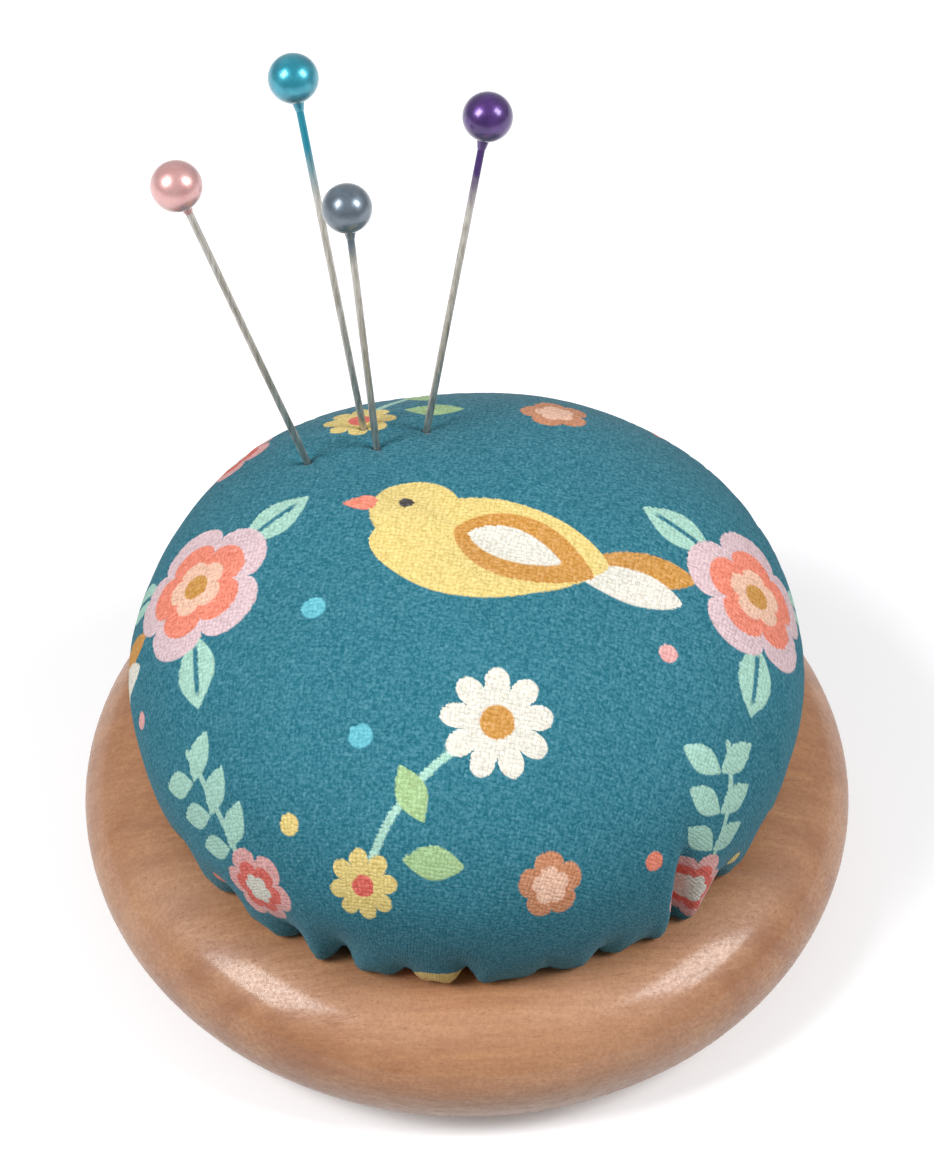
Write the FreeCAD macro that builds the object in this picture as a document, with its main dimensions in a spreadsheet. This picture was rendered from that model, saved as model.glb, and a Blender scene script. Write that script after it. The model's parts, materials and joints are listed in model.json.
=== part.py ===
"""A round pin cushion, as a parametric FreeCAD document.

A stuffed fabric dome sits in a shallow turned wooden dish. The cover is one circle of printed cotton,
pulled over the stuffing and over a stiff disc, and drawn closed underneath with a gathering thread.
Glue holds the disc and the gathered hem in the dish. Four pearl-headed pins stand in the dome, and
each slides along its own shank.

The frame has +Z up, and its origin is at the centre of the dish's flat foot. Lengths are in
millimetres and angles in degrees. Every driving size is a cell of the sheet "dims", and every
sub-part is bound to those cells.
"""

import FreeCAD, Part  # FreeCAD has to be imported first
import math
import operator
import os

import Sketcher

V = FreeCAD.Vector
doc = FreeCAD.newDocument("pin_cushion")


# ---------------------------------------------------------------- driving dimensions

DRIVING = {
    # the turned dish: a rounded rim round a flat-bottomed recess
    "base_radius": 33.0,  # widest radius of the rim
    "rim_round": 7.7,  # radius from the foot up to the widest circle
    "rim_half_width": 7.7,  # from the widest circle in to the rim's crown
    "rim_upper": 6.1,  # from the widest circle up to the crown
    "lip_round": 2.8,  # radius from the crown down into the recess
    "floor_thick": 5.0,  # wood left under the recess
    "floor_fillet": 0.8,  # where the recess wall meets its floor
    # what lies under the stuffing
    "glue_thick": 0.6,
    "glue_margin": 1.6,  # from the recess wall in to the glue's edge
    "disc_thick": 2.0,
    # the cushion
    "dome_bulge": 2.2,  # from the rim's crown out to the cushion's widest circle
    "dome_above_rim": 10.4,  # from the crown up to that circle
    "dome_rise": 15.3,  # from that circle up to the top
    "seat_gap": 0.1,  # between the cushion and the wood
    "cloth_thick": 0.4,
    "cloth_gap": 0.05,  # between the cover and what it is wrapped round
    "hem_corner": 0.9,  # outer radius where the cover turns under the disc
    "hem_opening": 15.5,  # radius of the opening that the thread draws closed
    "thread_radius": 0.2,
    "knot_radius": 0.7,
    # the pins
    "shank_radius": 0.3,
    "shank_length": 38.0,  # from the point to the underside of the bead
    "point_length": 3.0,
    "point_radius": 0.04,
    "bead_radius": 2.0,
    "bead_socket": 1.8,  # how far the shank reaches into the bead
    "bead_fit": 0.01,  # between the shank and its socket
    "neck_radius": 0.6,  # of the lacquer collar, where it meets the bead
    "neck_length": 0.9,
    "neck_skin": 0.05,  # thickness of the lacquer at the collar's thin end
    "neck_sink": 0.3,  # how far the collar reaches into the bead
    "channel_gap": 0.05,  # between a shank and the fibres that part round it
    "channel_stop": 0.8,  # stuffing left under a channel
    "channel_out": 4.0,  # how far the cutter of a channel runs past the dome
}

# Each pin: where it enters the dome (x, y), the way it leans (heading, anticlockwise from +X), how
# far it leans from upright (tilt), and how far along its shank the point is in the cushion (depth).
PINS = {
    "pink": {"x": -13.2, "y": 10.9, "heading": 198.4, "tilt": 15.7, "depth": 5.7},
    "teal": {"x": -8.7, "y": 15.4, "heading": 135.0, "tilt": 11.5, "depth": 5.7},
    "grey": {"x": -7.5, "y": 11.8, "heading": 129.6, "tilt": 7.1, "depth": 15.7},
    "violet": {"x": -3.3, "y": 14.3, "heading": 43.8, "tilt": 13.0, "depth": 9.7},
}


def make_sheet():
    """The sheet of driving sizes, one named cell each."""
    sheet = doc.addObject("Spreadsheet::Sheet", "dims")
    cells = dict(DRIVING)
    for pin, sizes in PINS.items():
        cells.update({f"{pin}_{name}": number for name, number in sizes.items()})
    for row, (name, number) in enumerate(cells.items(), start=1):
        sheet.set(f"A{row}", name)
        sheet.set(f"B{row}", str(number))
        sheet.setAlias(f"B{row}", name)
    doc.recompute()
    return sheet


dims = make_sheet()


# ---------------------------------------------------------------- sizes and formulas


def term(symbol, operation):
    """The method of Size that joins it to another size or to a plain number."""

    def joined(self, other):
        if not isinstance(other, Size):
            other = Size(other, str(other))
        return Size(operation(self.value, other.value), f"({self.text} {symbol} {other.text})")

    return joined


class Size:
    """A size that knows its present value and its formula over the cells of the sheet."""

    def __init__(self, value, text):
        self.value = float(value)
        self.text = text

    __add__ = term("+", operator.add)
    __sub__ = term("-", operator.sub)
    __mul__ = term("*", operator.mul)
    __truediv__ = term("/", operator.truediv)


def cell(name):
    """The size held in one cell of the sheet."""
    return Size(dims.get(name), f"dims.{name}")


def root(size):
    """The square root of a size."""
    return Size(math.sqrt(size.value), f"sqrt({size.text})")


def larger(a, b):
    """The larger of two sizes."""
    return Size(max(a.value, b.value), f"max({a.text}; {b.text})")


def sine(angle):
    """The sine of an angle in degrees."""
    return Size(math.sin(math.radians(angle.value)), f"sin({angle.text})")


def cosine(angle):
    """The cosine of an angle in degrees."""
    return Size(math.cos(math.radians(angle.value)), f"cos({angle.text})")


ZERO = Size(0, "0")

# the dish
BASE_R = cell("base_radius")
WIDEST_Z = cell("rim_round")
CROWN_R = BASE_R - cell("rim_half_width")
CROWN_Z = WIDEST_Z + cell("rim_upper")
LIP_Z = CROWN_Z - cell("lip_round")
RECESS_R = CROWN_R - cell("lip_round")
FLOOR_Z = cell("floor_thick")

# the cushion, from outside in: every skin of it follows the same outline, further and further in
DOME_R = CROWN_R + cell("dome_bulge")
DOME_Z = CROWN_Z + cell("dome_above_rim")
CLOTH = cell("cloth_thick")
SKIN_INSIDE = CLOTH + cell("cloth_gap")
HEM_BOTTOM = FLOOR_Z + cell("glue_thick")
DISC_BOTTOM = HEM_BOTTOM + larger(CLOTH, cell("thread_radius") * 2) + cell("cloth_gap")
DISC_TOP = DISC_BOTTOM + cell("disc_thick")
STUFFING_BOTTOM = DISC_TOP + cell("cloth_gap")

# the pins
SHANK_TOP = cell("shank_length") + cell("bead_socket")
BEAD_Z = cell("shank_length") + cell("bead_radius")
CHANNEL_FLOOR = STUFFING_BOTTOM + cell("channel_stop")


# ---------------------------------------------------------------- helpers


def bind(thing, **sizes):
    """Binds properties of an object to sizes; a double underscore in a name stands for a dot."""
    for name, size in sizes.items():
        thing.setExpression(name.replace("__", "."), size.text)


def primitive(kind, name, **sizes):
    """A Part primitive or boolean with its properties bound to sizes."""
    thing = doc.addObject(kind, name)
    bind(thing, **sizes)
    return thing


class Section:
    """A closed half-section in a body's XZ plane, whose corners are pinned to the sheet in order."""

    def __init__(self, body, name, x, z):
        self.sketch = body.newObject("Sketcher::SketchObject", name)
        plane = next(f for f in body.Origin.OriginFeatures if f.Role == "XZ_Plane")
        self.sketch.AttachmentSupport = (plane, [""])
        self.sketch.MapMode = "FlatFace"
        self.start = self.here = (x, z)
        self.first = self.last = None

    def pin(self, geometry, point, x=None, z=None):
        """Pins a point's x, its z, or both, to sizes measured from the sketch's origin."""
        for kind, size, axis in (("DistanceX", x, -2), ("DistanceY", z, -1)):
            if size is None:
                continue
            if size is ZERO:
                self.sketch.addConstraint(Sketcher.Constraint("PointOnObject", geometry, point, axis))
                continue
            made = self.sketch.addConstraint(
                Sketcher.Constraint(kind, -1, 1, geometry, point, size.value)
            )
            self.sketch.setExpression(f"Constraints[{made}]", size.text)

    def join(self, geometry, start, end, x, z):
        """Ties a new piece's start to the outline so far, and pins its end."""
        if self.last is None:
            self.first = (geometry, start)
        else:
            self.sketch.addConstraint(Sketcher.Constraint("Coincident", *self.last, geometry, start))
        if (x, z) == self.start:
            self.sketch.addConstraint(Sketcher.Constraint("Coincident", geometry, end, *self.first))
            self.pin(geometry, end, x, z)
        else:
            self.pin(geometry, end, x, z)
        self.last = (geometry, end)
        self.here = (x, z)

    def at(self, x, z):
        return V(x.value, z.value, 0)

    def line(self, x, z):
        """A straight stretch to the next corner."""
        made = self.sketch.addGeometry(Part.LineSegment(self.at(*self.here), self.at(x, z)), False)
        self.join(made, 1, 2, x, z)
        return self

    def turning(self, centre_x, centre_z, x, z):
        """Whether the short way round a centre, from here to the next corner, is anticlockwise."""
        ax, az = self.here[0].value - centre_x.value, self.here[1].value - centre_z.value
        bx, bz = x.value - centre_x.value, z.value - centre_z.value
        return ax * bz - az * bx > 0

    def oval(self, centre_x, centre_z, x, z):
        """A quarter of a circle or of an upright ellipse round a centre, to the next corner."""
        left = self.turning(centre_x, centre_z, x, z)
        corners = (self.here, (x, z)) if left else ((x, z), self.here)
        angles = [
            math.atan2(b.value - centre_z.value, a.value - centre_x.value) % math.tau
            for a, b in corners
        ]
        if angles[1] < angles[0]:
            angles[1] += math.tau
        wide = max(abs(a.value - centre_x.value) for a, _ in corners)
        high = max(abs(b.value - centre_z.value) for _, b in corners)
        centre = self.at(centre_x, centre_z)
        start, end = (1, 2) if left else (2, 1)
        if math.isclose(wide, high, rel_tol=1e-6):
            arc = Part.ArcOfCircle(Part.Circle(centre, V(0, 0, 1), wide), *angles)
            made = self.sketch.addGeometry(arc, False)
            self.join(made, start, end, x, z)
            self.pin(made, 3, x=centre_x)
            return self
        turn = 0.0 if wide > high else math.pi / 2  # where the long axis points
        long_end = centre + V(wide, 0, 0) if wide > high else centre + V(0, high, 0)
        short_end = centre + V(0, high, 0) if wide > high else centre - V(wide, 0, 0)
        ellipse = Part.Ellipse(long_end, short_end, centre)
        arc = Part.ArcOfEllipse(ellipse, angles[0] - turn, angles[1] - turn)
        made = self.sketch.addGeometry(arc, False)
        self.sketch.exposeInternalGeometry(made)
        along = "Horizontal" if wide > high else "Vertical"
        self.sketch.addConstraint(Sketcher.Constraint(along, made + 1))
        self.join(made, start, end, x, z)
        self.pin(made, 3, x=centre_x, z=centre_z)
        return self

    def close(self):
        """The last straight stretch, back to the first corner."""
        return self.line(*self.start)


def body_of(label):
    """A new PartDesign body with its label."""
    body = doc.addObject("PartDesign::Body", label)
    body.Label = label
    return body


def revolve(body, section):
    """Turns a half-section round the body's upright axis."""
    turned = body.newObject("PartDesign::Revolution", body.Label + "_turned")
    turned.Profile = section.sketch
    turned.ReferenceAxis = (section.sketch, ["V_Axis"])
    turned.Angle = 360
    section.sketch.Visibility = False
    doc.recompute()
    return turned


# ---------------------------------------------------------------- the dish and what is glued in it


def make_dish():
    """The turned dish: a flat foot, a rounded rim, and a recess with a flat floor."""
    body = body_of("wood_base")
    fillet = cell("floor_fillet")
    foot_r = BASE_R - cell("rim_round")
    section = Section(body, "dish_section", ZERO, ZERO)
    section.line(foot_r, ZERO)
    section.oval(foot_r, WIDEST_Z, BASE_R, WIDEST_Z)
    section.oval(CROWN_R, WIDEST_Z, CROWN_R, CROWN_Z)
    section.oval(CROWN_R, LIP_Z, RECESS_R, LIP_Z)
    section.line(RECESS_R, FLOOR_Z + fillet)
    section.oval(RECESS_R - fillet, FLOOR_Z + fillet, RECESS_R - fillet, FLOOR_Z)
    section.line(ZERO, FLOOR_Z)
    section.close()
    revolve(body, section)
    return body


def make_glue():
    """A round patch of glue between the recess floor and the gathered hem."""
    return primitive(
        "Part::Cylinder",
        "glue",
        Radius=RECESS_R - cell("glue_margin"),
        Height=cell("glue_thick"),
        Placement__Base__z=FLOOR_Z,
    )


def make_disc():
    """The stiff disc that the cover is gathered round."""
    body = body_of("backing_disc")
    sketch = body.newObject("Sketcher::SketchObject", "disc_outline")
    plane = next(f for f in body.Origin.OriginFeatures if f.Role == "XY_Plane")
    sketch.AttachmentSupport = (plane, [""])
    sketch.MapMode = "FlatFace"
    radius = RECESS_R - cell("seat_gap") - SKIN_INSIDE
    circle = sketch.addGeometry(Part.Circle(V(0, 0, 0), V(0, 0, 1), radius.value), False)
    sketch.addConstraint(Sketcher.Constraint("Coincident", circle, 3, -1, 1))
    made = sketch.addConstraint(Sketcher.Constraint("Radius", circle, radius.value))
    sketch.setExpression(f"Constraints[{made}]", radius.text)
    pad = body.newObject("PartDesign::Pad", "disc_pad")
    pad.Profile = sketch
    bind(pad, Length=cell("disc_thick"))
    sketch.Visibility = False
    doc.recompute()
    eased = body.newObject("PartDesign::Fillet", "disc_eased")
    eased.Base = (pad, round_edges_at(pad, 0.0))
    bind(eased, Radius=cell("hem_corner") - SKIN_INSIDE)
    bind(body, Placement__Base__z=DISC_BOTTOM)
    return body


def round_edges_at(feature, height):
    """The names of a feature's circular edges at one height."""
    return [
        f"Edge{number}"
        for number, edge in enumerate(feature.Shape.Edges, start=1)
        if isinstance(edge.Curve, Part.Circle) and abs(edge.CenterOfMass.z - height) < 1e-6
    ]


def make_thread():
    """The gathering thread, drawn up inside the hem's opening, with its knot."""
    radius = cell("thread_radius")
    ring_r = cell("hem_opening") - radius - cell("cloth_gap")
    height = HEM_BOTTOM + radius
    ring = primitive(
        "Part::Torus", "thread_ring", Radius1=ring_r, Radius2=radius, Placement__Base__z=height
    )
    knot = primitive(
        "Part::Ellipsoid",
        "thread_knot",
        Radius1=radius,
        Radius2=cell("knot_radius"),
        Placement__Base__x=ring_r - cell("knot_radius"),
        Placement__Base__z=height,
    )
    knot.Angle1 = -90
    thread = primitive("Part::Fuse", "gathering_thread")
    thread.Base = ring
    thread.Tool = knot
    return thread


# ---------------------------------------------------------------- the cushion


def outer_skin(section, inset, down_to):
    """Draws the cushion's outline, some way inside its outer skin, from the top to the throat."""
    lip = cell("lip_round") + cell("seat_gap") + inset
    throat_r = CROWN_R - lip
    section.oval(ZERO, DOME_Z, DOME_R - inset, DOME_Z)
    section.oval(CROWN_R, DOME_Z, CROWN_R, LIP_Z + lip)
    section.oval(CROWN_R, LIP_Z, throat_r, LIP_Z)
    section.line(throat_r, down_to)
    return throat_r


def inner_skin(section, inset):
    """Draws the same outline upwards, from the throat to the top."""
    lip = cell("lip_round") + cell("seat_gap") + inset
    throat_r = CROWN_R - lip
    section.line(throat_r, LIP_Z)
    section.oval(CROWN_R, LIP_Z, CROWN_R, LIP_Z + lip)
    section.oval(CROWN_R, DOME_Z, DOME_R - inset, DOME_Z)
    section.oval(ZERO, DOME_Z, ZERO, DOME_Z + cell("dome_rise") - inset)


def make_cover(channels):
    """The cotton cover: over the dome, down inside the rim, and in under the disc."""
    body = body_of("cover_cloth")
    corner = cell("hem_corner")
    hem_top = HEM_BOTTOM + CLOTH
    corner_z = HEM_BOTTOM + corner
    top = DOME_Z + cell("dome_rise")
    section = Section(body, "cover_section", ZERO, top)
    throat_r = outer_skin(section, ZERO, corner_z)
    corner_r = throat_r - corner
    section.oval(corner_r, corner_z, corner_r, HEM_BOTTOM)
    section.line(cell("hem_opening"), HEM_BOTTOM)
    section.line(cell("hem_opening"), hem_top)
    section.line(corner_r, hem_top)
    section.oval(corner_r, corner_z, throat_r - CLOTH, corner_z)
    inner_skin(section, CLOTH)
    section.close()
    revolve(body, section)
    return pierced("cover", body, channels)


def make_stuffing(channels):
    """The fibre filling, which fills the cover down to the disc."""
    body = body_of("stuffing_fill")
    top = DOME_Z + cell("dome_rise") - SKIN_INSIDE
    section = Section(body, "stuffing_section", ZERO, top)
    outer_skin(section, SKIN_INSIDE, STUFFING_BOTTOM)
    section.line(ZERO, STUFFING_BOTTOM)
    section.close()
    revolve(body, section)
    return pierced("stuffing", body, channels)


def pierced(label, body, channels):
    """A body with the pins' channels cut out of it."""
    cut = primitive("Part::Cut", label)
    cut.Base = body
    cut.Tool = channels
    return cut


# ---------------------------------------------------------------- the pins


class Pin:
    """Where one pin stands: its entry into the dome, its direction, and frames along its shank."""

    def __init__(self, name):
        self.name = name
        self.x, self.y = cell(f"{name}_x"), cell(f"{name}_y")
        heading, self.tilt = cell(f"{name}_heading"), cell(f"{name}_tilt")
        self.depth = cell(f"{name}_depth")
        self.side = (sine(heading), cosine(heading))
        self.along = (sine(self.tilt) * self.side[1], sine(self.tilt) * self.side[0], cosine(self.tilt))
        off_axis = (self.x * self.x + self.y * self.y) / (DOME_R * DOME_R)
        self.entry_z = DOME_Z + cell("dome_rise") * root(Size(1, "1") - off_axis)
        self.channel = (self.entry_z - CHANNEL_FLOOR) / self.along[2]

    def place(self, thing, inside):
        """Puts an object's origin on the shank's line, some way inside the dome, and turns it along."""
        base = [size - inside * step for size, step in zip((self.x, self.y, self.entry_z), self.along)]
        across = f"vector(0 - {self.side[0].text}; {self.side[1].text}; 0)"
        turn = f"rotation({across}; {self.tilt.text})"
        point = "; ".join(size.text for size in base)
        thing.setExpression("Placement", f"placement(vector({point}); {turn})")


def make_channels(pins):
    """The round channels that the shanks slide in, over their whole stroke."""
    tools = []
    for pin in pins:
        tool = primitive(
            "Part::Cylinder",
            f"{pin.name}_channel",
            Radius=cell("shank_radius") + cell("channel_gap"),
            Height=pin.channel + cell("channel_out"),
        )
        pin.place(tool, pin.channel)
        tools.append(tool)
    channels = primitive("Part::MultiFuse", "channels")
    channels.Shapes = tools
    return channels


def make_shank(pin):
    """The steel shank, from its ground point up into the bead."""
    body = body_of(f"{pin.name}_shank")
    section = Section(body, f"{pin.name}_section", ZERO, ZERO)
    section.line(cell("point_radius"), ZERO)
    section.line(cell("shank_radius"), cell("point_length"))
    section.line(cell("shank_radius"), SHANK_TOP)
    section.line(ZERO, SHANK_TOP)
    section.close()
    revolve(body, section)
    pin.place(body, pin.depth)
    return body


def make_bead(pin):
    """The pearl bead with its lacquer collar, bored for the shank."""
    neck_z = cell("shank_length") - cell("neck_length")
    ball = primitive(
        "Part::Sphere", f"{pin.name}_ball", Radius=cell("bead_radius"), Placement__Base__z=BEAD_Z
    )
    neck = primitive(
        "Part::Cone",
        f"{pin.name}_neck",
        Radius1=cell("shank_radius") + cell("bead_fit") + cell("neck_skin"),
        Radius2=cell("neck_radius"),
        Height=cell("neck_length") + cell("neck_sink"),
        Placement__Base__z=neck_z,
    )
    solid = primitive("Part::Fuse", f"{pin.name}_solid")
    solid.Base, solid.Tool = ball, neck
    bore = primitive(
        "Part::Cylinder",
        f"{pin.name}_bore",
        Radius=cell("shank_radius") + cell("bead_fit"),
        Height=SHANK_TOP + cell("bead_fit"),
    )
    bead = primitive("Part::Cut", f"{pin.name}_bead")
    bead.Base, bead.Tool = solid, bore
    pin.place(bead, pin.depth)
    return bead


# ---------------------------------------------------------------- the whole part


def check(nodes):
    """Stops if anything failed to build, or if a sub-part isn't one sound solid."""
    for thing in doc.Objects:
        if "Invalid" in thing.State or "Error" in thing.State:
            raise RuntimeError(f"{thing.Name} failed: {thing.State}")
    for node in nodes:
        shape = node.Shape
        if shape.isNull() or not shape.isValid() or len(shape.Solids) != 1:
            raise RuntimeError(f"{node.Label} is not one valid solid")


def main():
    pins = [Pin(name) for name in PINS]
    channels = make_channels(pins)
    nodes = [make_dish(), make_glue(), make_disc(), make_thread()]
    nodes += [make_cover(channels), make_stuffing(channels)]
    for pin in pins:
        nodes += [make_shank(pin), make_bead(pin)]
    doc.recompute()
    check(nodes)
    os.makedirs("parts", exist_ok=True)
    for node in nodes:
        node.Shape.exportStep(f"parts/{node.Label}.step")
        box = node.Shape.BoundBox
        print(f"{node.Label}: volume {node.Shape.Volume:.2f}, z {box.ZMin:.3f} to {box.ZMax:.3f}")
    for pin in pins:
        print(f"{pin.name}: channel {pin.channel.value:.3f}, depth {pin.depth.value:.3f}")


main()
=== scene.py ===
# %% [markdown]
# # A pin cushion, told as a lesson
# The object is a stuffed dome of printed cotton in a turned wooden dish, with four pearl-headed pins
# standing in it. The dish, the board, the glue and the pins come from an engineering model, which is
# loaded first as a fixed frame. Everything soft is made here, around that frame: the gathered cover,
# the filling and the thread that draws the cover closed.

# %% Load the frame
import json
import math

import bpy
import numpy as np
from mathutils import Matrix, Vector


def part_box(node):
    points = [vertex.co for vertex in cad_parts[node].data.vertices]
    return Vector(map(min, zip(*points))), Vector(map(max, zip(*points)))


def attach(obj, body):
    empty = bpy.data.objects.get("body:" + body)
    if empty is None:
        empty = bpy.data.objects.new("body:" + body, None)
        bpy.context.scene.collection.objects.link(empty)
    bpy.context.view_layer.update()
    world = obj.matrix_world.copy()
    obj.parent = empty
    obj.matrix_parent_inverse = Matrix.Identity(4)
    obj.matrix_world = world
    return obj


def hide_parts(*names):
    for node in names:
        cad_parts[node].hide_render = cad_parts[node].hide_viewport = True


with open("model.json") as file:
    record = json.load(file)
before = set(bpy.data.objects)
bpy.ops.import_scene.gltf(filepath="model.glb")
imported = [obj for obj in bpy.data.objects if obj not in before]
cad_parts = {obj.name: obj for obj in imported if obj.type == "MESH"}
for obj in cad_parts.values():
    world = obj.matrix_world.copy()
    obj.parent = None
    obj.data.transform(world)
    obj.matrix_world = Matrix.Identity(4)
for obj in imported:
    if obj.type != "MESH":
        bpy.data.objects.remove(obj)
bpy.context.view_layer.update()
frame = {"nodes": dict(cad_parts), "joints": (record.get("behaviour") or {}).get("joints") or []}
MM = 0.001

# %% [markdown]
# ## Sizes that come from the frame
# The soft pieces have to fit the dish, so their sizes are read from the frame's own boxes. The dome's
# widest circle and its top come from the plain cover, and the rim's crown from the dish.

# %% Sizes
def millimetres(node):
    """A node's lowest and highest corners, in millimetres."""
    low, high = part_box(node)
    return [c / MM for c in low], [c / MM for c in high]


_, DISH_HIGH = millimetres("wood_base")
COVER_LOW, COVER_HIGH = millimetres("cover")
FILL_LOW, _ = millimetres("stuffing")
CROWN_Z = DISH_HIGH[2]
DOME_RADIUS = COVER_HIGH[0]
DOME_TOP = COVER_HIGH[2]
HEM_Z = COVER_LOW[2]
RIM_WIDTH = 7.7  # from the rim's crown out to its widest circle
CROWN_RADIUS = DISH_HIGH[0] - RIM_WIDTH
LIP_ROUND = 2.8  # radius from the crown down into the recess
CROWN_TO_WIDEST = 10.4
WIDEST_Z = CROWN_Z + CROWN_TO_WIDEST  # height of the dome's widest circle
print(f"dome {2 * DOME_RADIUS:.1f} mm wide, top at {DOME_TOP:.1f} mm, crown radius {CROWN_RADIUS:.1f} mm")

# %% [markdown]
# ## The studio
# A small product is lit by large soft boxes close to it. Two of them, high on the left and on the right,
# give each pearl its pair of bright spots. A dim, pale surround keeps the shadows from going black. The
# camera has a long lens, so the round dish is hardly distorted.

# %% Camera
CAMERA_HEIGHT_ANGLE = math.radians(47.6)
CAMERA_DISTANCE = 0.297
AIM = Vector((0, 0, 0.0329))
LENS = 111.6  # focal length in millimetres


def look_at(thing, place, aim):
    """Puts a camera or a lamp at a place and turns it towards a point."""
    thing.location = place
    thing.rotation_euler = (Vector(aim) - Vector(place)).to_track_quat("-Z", "Y").to_euler()


camera_data = bpy.data.cameras.new("camera")
camera_data.lens = LENS
camera_data.clip_start = 0.01
camera = bpy.data.objects.new("camera", camera_data)
bpy.context.collection.objects.link(camera)
look_at(
    camera,
    (
        0,
        -CAMERA_DISTANCE * math.cos(CAMERA_HEIGHT_ANGLE),
        AIM.z + CAMERA_DISTANCE * math.sin(CAMERA_HEIGHT_ANGLE),
    ),
    AIM,
)
bpy.context.scene.camera = camera
bpy.context.scene.view_settings.view_transform = "Standard"


# %% Lamps
LAMP_AIM = (0, 0, 0.03)


def softbox(name, place, width, height, power):
    """A rectangular soft box that faces the cushion."""
    data = bpy.data.lights.new(name, "AREA")
    data.shape = "RECTANGLE"
    data.size, data.size_y = width, height
    data.energy = power
    lamp = bpy.data.objects.new(name, data)
    bpy.context.collection.objects.link(lamp)
    look_at(lamp, place, LAMP_AIM)


softbox("softbox_left", (-0.34, -0.16, 0.42), 0.20, 0.26, 2.7)
softbox("softbox_right", (0.36, -0.10, 0.40), 0.18, 0.24, 2.1)

world = bpy.data.worlds.new("studio")
bpy.context.scene.world = world
world.use_nodes = True
world.node_tree.nodes["Background"].inputs["Color"].default_value = (0.95, 0.97, 1.0, 1)
world.node_tree.nodes["Background"].inputs["Strength"].default_value = 0.27

# %% [markdown]
# ## Small helpers
# An operator works on whatever is selected, so each step starts with nothing selected. Node trees are
# long to write one node at a time, so a Wire stands for one output of a tree and knows how to add,
# multiply and blend.


# %% Object helpers
def select_only(*things):
    """Selects these objects and no others, and makes the first one active."""
    if bpy.context.object and bpy.context.object.mode != "OBJECT":
        bpy.ops.object.mode_set(mode="OBJECT")
    bpy.ops.object.select_all(action="DESELECT")
    for thing in things:
        thing.select_set(True)
    bpy.context.view_layer.objects.active = things[0]


def settle(thing):
    """Moves an object's place into its mesh, so that it sits at the origin."""
    select_only(thing)
    bpy.ops.object.transform_apply(location=True, rotation=True, scale=True)


def grid_object(name, points, faces):
    """A mesh object from points in millimetres."""
    mesh = bpy.data.meshes.new(name)
    mesh.from_pydata([tuple(c * MM for c in point) for point in points], [], faces)
    mesh.update()
    thing = bpy.data.objects.new(name, mesh)
    bpy.context.collection.objects.link(thing)
    return thing


# %% Node helpers
class Wire:
    """One output in a node tree. Arithmetic on it adds Math nodes to the tree."""

    def __init__(self, tree, socket):
        self.tree, self.socket = tree, socket

    def math(self, operation, *others):
        return node(self.tree, "Math", self, *others, operation=operation)

    def __add__(self, other):
        return self.math("ADD", other)

    def __sub__(self, other):
        return self.math("SUBTRACT", other)

    def __mul__(self, other):
        return self.math("MULTIPLY", other)

    def __truediv__(self, other):
        return self.math("DIVIDE", other)

    def __pow__(self, other):
        return self.math("POWER", other)

    def size(self):
        return self.math("ABSOLUTE")

    def between(self, low, high, to_low=0.0, to_high=1.0):
        """Moves a range of values onto another, and holds it there."""
        return node(self.tree, "MapRange", self, low, high, to_low, to_high)

    def held(self):
        """Held between 0 and 1. The node's own clamp would be worked out late, and fill the stack."""
        return self.math("MAXIMUM", 0.0).math("MINIMUM", 1.0)

    def edge(self, softness):
        """1 where the wire is above 0, and 0 below, with a soft edge."""
        return (self / softness + 0.5).held()


def node(tree, kind, *inputs, out=0, **settings):
    """Adds a node, sets it up, plugs in its inputs in order, and gives one output as a Wire."""
    made = tree.nodes.new("ShaderNode" + kind)
    for name, value in settings.items():
        setattr(made, name, value)
    sockets = [socket for socket in made.inputs if socket.enabled]
    for socket, value in zip(sockets, inputs):
        plug(tree, value, socket)
    return Wire(tree, made.outputs[out])


def plug(tree, value, socket):
    """Links a wire to a socket, or sets the socket to a plain value."""
    if value is None:
        return
    if isinstance(value, Wire):
        tree.links.new(value.socket, socket)
    else:
        socket.default_value = value


def noise(tree, point, scale, detail=2.0, rough=0.5, out=0):
    """A noise value round 0.5."""
    return node(tree, "TexNoise", point, scale, detail, rough, out=out)


def blend(tree, amount, first, second):
    """A colour between two colours."""
    made = tree.nodes.new("ShaderNodeMix")
    made.data_type = "RGBA"
    plug(tree, amount, made.inputs["Factor"])
    plug(tree, first, made.inputs[6])
    plug(tree, second, made.inputs[7])
    return Wire(tree, made.outputs[2])


def axes(tree, point):
    """A point's x, y and z."""
    made = tree.nodes.new("ShaderNodeSeparateXYZ")
    plug(tree, point, made.inputs[0])
    return [Wire(tree, out) for out in made.outputs]


def vector(tree, x, y=0.0, z=0.0):
    return node(tree, "CombineXYZ", x, y, z)


SOCKETS = {"value": "NodeSocketFloat", "point": "NodeSocketVector", "colour": "NodeSocketColor"}


def new_group(name, inputs, outputs):
    """A node group with named inputs and outputs. Gives the tree, its inputs and an output setter."""
    tree = bpy.data.node_groups.new(name, "ShaderNodeTree")
    for label, (kind, start) in inputs.items():
        socket = tree.interface.new_socket(name=label, in_out="INPUT", socket_type=SOCKETS[kind])
        socket.default_value = start
    for label, kind in outputs.items():
        tree.interface.new_socket(name=label, in_out="OUTPUT", socket_type=SOCKETS[kind])
    entry = tree.nodes.new("NodeGroupInput")
    leave = tree.nodes.new("NodeGroupOutput")
    wires = [Wire(tree, entry.outputs[label]) for label in inputs]

    def give(label, wire):
        plug(tree, wire, leave.inputs[label])

    return tree, wires, give


def use_group(tree, group, **values):
    """Places a group in a tree. An underscore in a name stands for a space. Gives its outputs."""
    made = tree.nodes.new("ShaderNodeGroup")
    made.node_tree = group
    for name, value in values.items():
        plug(tree, value, made.inputs[name.replace("_", " ")])
    return {out.name: Wire(tree, out) for out in made.outputs}


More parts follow.
